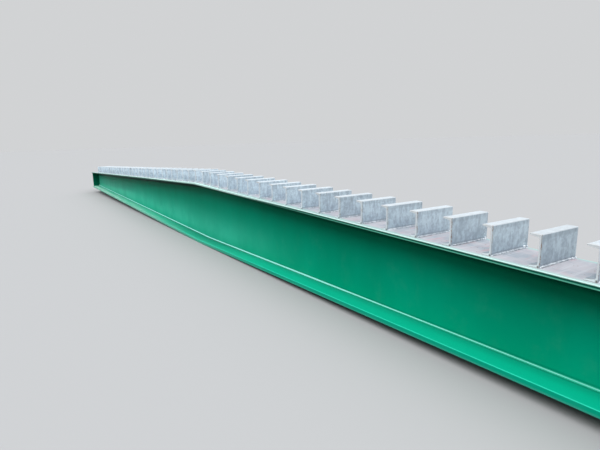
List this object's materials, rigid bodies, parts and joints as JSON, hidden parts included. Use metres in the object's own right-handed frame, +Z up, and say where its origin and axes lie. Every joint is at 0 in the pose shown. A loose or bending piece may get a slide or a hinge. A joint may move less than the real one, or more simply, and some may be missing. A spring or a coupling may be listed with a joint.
{
  "type": "steel girder",
  "caption": "Double-tapered welded steel plate girder, painted green, with galvanised channel shear connectors across its top flange.",
  "frame": {"origin": "bottom centre of the bounding box: on the centre line, under the lowest line of the bottom flange at mid-length", "axes": "+X along the girder towards the end that is near in the picture, +Y across it away from the picture's camera, +Z up"},
  "size_m": [13.716, 0.2794, 0.7492],
  "materials": {
    "green_paint": "gloss",
    "galvanised_steel": "dull hot-dip zinc"
  },
  "bodies": {
    "root": {"top_flange_left": "green_paint", "top_flange_right": "green_paint", "bottom_flange_left": "green_paint", "bottom_flange_right": "green_paint", "web_plate": "green_paint", "end_stiffener_left_front": "green_paint", "end_stiffener_left_back": "green_paint", "end_stiffener_right_front": "green_paint", "end_stiffener_right_back": "green_paint", "web_weld_top_front": "green_paint", "web_weld_top_back": "green_paint", "web_weld_bottom_front": "green_paint", "web_weld_bottom_back": "green_paint", "shear_channels_left_01": "galvanised_steel", "shear_channels_left_02": "galvanised_steel", "shear_channels_left_03": "galvanised_steel", "shear_channels_left_04": "galvanised_steel", "shear_channels_left_05": "galvanised_steel", "shear_channels_left_06": "galvanised_steel", "shear_channels_left_07": "galvanised_steel", "shear_channels_left_08": "galvanised_steel", "shear_channels_left_09": "galvanised_steel", "shear_channels_left_10": "galvanised_steel", "shear_channels_left_11": "galvanised_steel", "shear_channels_left_12": "galvanised_steel", "shear_channels_left_13": "galvanised_steel", "shear_channels_left_14": "galvanised_steel", "shear_channels_left_15": "galvanised_steel", "shear_channels_right_01": "galvanised_steel", "shear_channels_right_02": "galvanised_steel", "shear_channels_right_03": "galvanised_steel", "shear_channels_right_04": "galvanised_steel", "shear_channels_right_05": "galvanised_steel", "shear_channels_right_06": "galvanised_steel", "shear_channels_right_07": "galvanised_steel", "shear_channels_right_08": "galvanised_steel", "shear_channels_right_09": "galvanised_steel", "shear_channels_right_10": "galvanised_steel", "shear_channels_right_11": "galvanised_steel", "shear_channels_right_12": "galvanised_steel", "shear_channels_right_13": "galvanised_steel", "shear_channels_right_14": "galvanised_steel", "shear_channels_right_15": "galvanised_steel", "shear_channel_mid": "galvanised_steel"}
  },
  "joints": []
}
